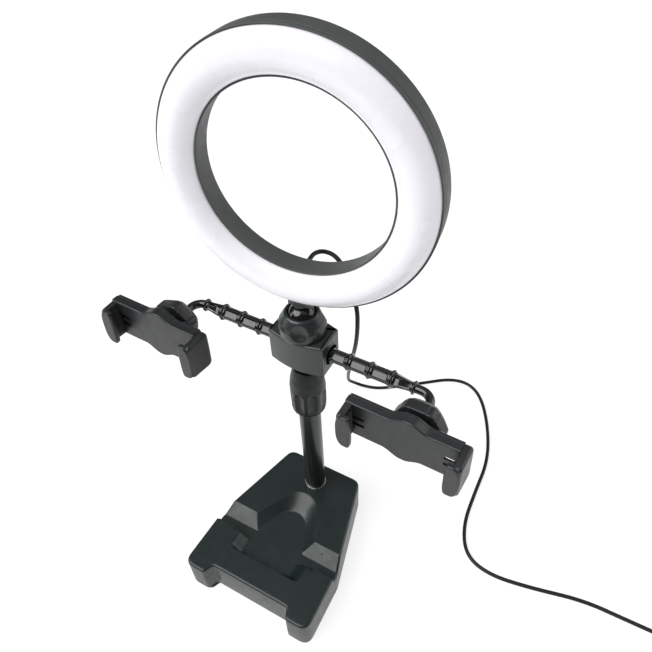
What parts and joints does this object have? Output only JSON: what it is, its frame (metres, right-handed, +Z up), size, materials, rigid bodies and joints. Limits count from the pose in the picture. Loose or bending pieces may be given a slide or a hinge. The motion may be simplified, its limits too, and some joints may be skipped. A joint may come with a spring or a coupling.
{
  "type": "desk ring light with phone clamps",
  "caption": "Desk ring light on a telescopic mast with a weighted notched base, side arms with sprung phone clamps, a ball head and a powered cord.",
  "frame": {"origin": "on the mast's axis at the underside of the base mat, on the table", "axes": "+Z up along the mast; -Y towards the lamp's face and the front of the base; +X along the arm on the object's right seen from the front"},
  "size_m": [0.5117, 0.287, 0.4016],
  "materials": {
    "cover": "satin, fine grain",
    "mat": "matte",
    "steel": "plain",
    "mast": "semi-gloss black",
    "bush": "natural",
    "collar": "satin black",
    "block": "satin black",
    "gloss": "gloss black",
    "clamp": "matte dark grey",
    "pad": "matte",
    "ring": "matte dark grey",
    "diffuser": "milky white",
    "board": "white lacquer",
    "lamp": "phosphor yellow",
    "cord": "satin black",
    "button": "satin light grey"
  },
  "bodies": {
    "base": {"base_cover": "cover", "base_mat": "mat", "base_plate": "steel", "base_weight": "steel", "base_screws": "steel", "mast_outer_tube": "mast", "mast_foot_ring": "steel", "mast_root_plug": "bush", "mast_root_bolt": "steel", "mast_guide_bush": "bush", "mast_collet": "bush", "cord_tube": "cord", "cord_coil": "cord", "controller_lower": "cover", "controller_upper": "cover", "plug_grip": "cord", "plug_shell": "steel"},
    "collar": {"lock_collar": "collar"},
    "slider": {"mast_slider_bush": "bush"},
    "mast": {"mast_inner_tube": "mast", "mast_end_plug": "bush", "block_body": "block", "block_lid": "block", "block_screws": "steel"},
    "nut": {"head_nut": "collar"},
    "lean": {"head_seat": "bush"},
    "ball": {"head_ball": "gloss"},
    "lamp": {"ring_housing": "ring", "ring_diffuser": "diffuser", "ring_lamp_board": "board", "ring_lamps": "lamp", "ring_stem": "ring", "cord_gland": "cord"},
    "arm_r": {"arm_right": "gloss"},
    "arm_l": {"arm_left": "gloss"},
    "button_power": {"controller_power": "button"},
    "button_brighter": {"controller_brighter": "button"},
    "button_dimmer": {"controller_dimmer": "button"},
    "seat_r": {"clamp_right_seat": "bush"},
    "cup_r": {"clamp_right_socket": "gloss"},
    "knob_r": {"clamp_right_knob": "clamp"},
    "clamp_r": {"clamp_right_body": "clamp", "clamp_right_back": "clamp", "clamp_right_screws": "steel", "clamp_right_spring": "steel", "clamp_right_pad_far": "pad"},
    "jaw_r": {"clamp_right_jaw": "clamp", "clamp_right_rods": "steel", "clamp_right_pad_near": "pad"},
    "seat_l": {"clamp_left_seat": "bush"},
    "cup_l": {"clamp_left_socket": "gloss"},
    "knob_l": {"clamp_left_knob": "clamp"},
    "clamp_l": {"clamp_left_body": "clamp", "clamp_left_back": "clamp", "clamp_left_screws": "steel", "clamp_left_spring": "steel", "clamp_left_pad_far": "pad"},
    "jaw_l": {"clamp_left_jaw": "clamp", "clamp_left_rods": "steel", "clamp_left_pad_near": "pad"}
  },
  "joints": [
    {"name": "collar_lock", "type": "hinge", "parent": "base", "child": "collar", "pos_m": [0, 0, 0.158], "axis": [0, 0, 1], "range_deg": [0, 90]},
    {"name": "mast_height", "type": "slide", "parent": "base", "child": "slider", "axis": [0, 0, 1], "range_m": [-0.007, 0.078], "deforming": ["cord_tube"]},
    {"name": "mast_turn", "type": "hinge", "parent": "slider", "child": "mast", "pos_m": [0, 0, 0.2], "axis": [0, 0, 1], "range_deg": [-90, 90], "deforming": ["cord_tube"]},
    {"name": "nut_turn", "type": "hinge", "parent": "mast", "child": "nut", "pos_m": [0, 0, 0.227], "axis": [0, 0, 1], "range_deg": [0, 300]},
    {"name": "lamp_lean", "type": "hinge", "parent": "mast", "child": "lean", "pos_m": [0, 0, 0.227], "axis": [-0.1148, 0.9918, -0.0558], "range_deg": [-15, 15], "deforming": ["cord_tube"]},
    {"name": "lamp_tilt", "type": "hinge", "parent": "lean", "child": "ball", "pos_m": [0, 0, 0.227], "axis": [0.9934, 0.1149, 0], "range_deg": [-25, 20], "deforming": ["cord_tube"]},
    {"name": "lamp_spin", "type": "hinge", "parent": "ball", "child": "lamp", "pos_m": [0, 0, 0.227], "axis": [-0.0064, 0.0555, 0.9984], "range_deg": [-45, 45], "deforming": ["cord_tube"]},
    {"name": "arm_right_turn", "type": "hinge", "parent": "mast", "child": "arm_r", "pos_m": [0.02, 0, 0.201], "axis": [1, 0, 0], "range_deg": [-30, 90]},
    {"name": "clamp_right_pan", "type": "hinge", "parent": "arm_r", "child": "seat_r", "pos_m": [0.0902, -0.022, 0.201], "axis": [-0.0256, 0.0183, 0.9995], "range_deg": [-20, 20]},
    {"name": "clamp_right_tilt", "type": "hinge", "parent": "seat_r", "child": "cup_r", "pos_m": [0.0902, -0.022, 0.201], "axis": [0.9991, -0.0344, 0.0262], "range_deg": [-25, 25]},
    {"name": "clamp_right_spin", "type": "hinge", "parent": "cup_r", "child": "clamp_r", "pos_m": [0.0902, -0.022, 0.201], "axis": [0.0349, 0.9992, -0.0175], "range_deg": [-90, 90]},
    {"name": "clamp_right_knob_turn", "type": "hinge", "parent": "cup_r", "child": "knob_r", "pos_m": [0.0902, -0.022, 0.201], "axis": [0.0349, 0.9992, -0.0175], "range_deg": [0, 180]},
    {"name": "clamp_right_open", "type": "slide", "parent": "clamp_r", "child": "jaw_r", "axis": [0.9991, -0.0344, 0.0262], "range_m": [0, 0.025], "stiffness_N_per_m": 150, "springref_m": -0.012},
    {"name": "arm_left_turn", "type": "hinge", "parent": "mast", "child": "arm_l", "pos_m": [-0.02, 0, 0.201], "axis": [1, 0, 0], "range_deg": [-30, 90]},
    {"name": "clamp_left_pan", "type": "hinge", "parent": "arm_l", "child": "seat_l", "pos_m": [-0.0858, -0.022, 0.201], "axis": [-0.0399, 0.0719, 0.9966], "range_deg": [-20, 20]},
    {"name": "clamp_left_tilt", "type": "hinge", "parent": "seat_l", "child": "cup_l", "pos_m": [-0.0858, -0.022, 0.201], "axis": [0.9978, -0.0492, 0.0435], "range_deg": [-25, 25]},
    {"name": "clamp_left_spin", "type": "hinge", "parent": "cup_l", "child": "clamp_l", "pos_m": [-0.0858, -0.022, 0.201], "axis": [0.0522, 0.9962, -0.0698], "range_deg": [-90, 90]},
    {"name": "clamp_left_knob_turn", "type": "hinge", "parent": "cup_l", "child": "knob_l", "pos_m": [-0.0858, -0.022, 0.201], "axis": [0.0522, 0.9962, -0.0698], "range_deg": [0, 180]},
    {"name": "clamp_left_open", "type": "slide", "parent": "clamp_l", "child": "jaw_l", "axis": [0.9978, -0.0492, 0.0435], "range_m": [0, 0.025], "stiffness_N_per_m": 150, "springref_m": -0.012},
    {"name": "press_power", "type": "slide", "parent": "base", "child": "button_power", "axis": [0, 0, -1], "range_m": [0, 0.0012], "stiffness_N_per_m": 500, "springref_m": -0.0006},
    {"name": "press_brighter", "type": "slide", "parent": "base", "child": "button_brighter", "axis": [0, 0, -1], "range_m": [0, 0.0012], "stiffness_N_per_m": 500, "springref_m": -0.0006},
    {"name": "press_dimmer", "type": "slide", "parent": "base", "child": "button_dimmer", "axis": [0, 0, -1], "range_m": [0, 0.0012], "stiffness_N_per_m": 500, "springref_m": -0.0006}
  ]
}
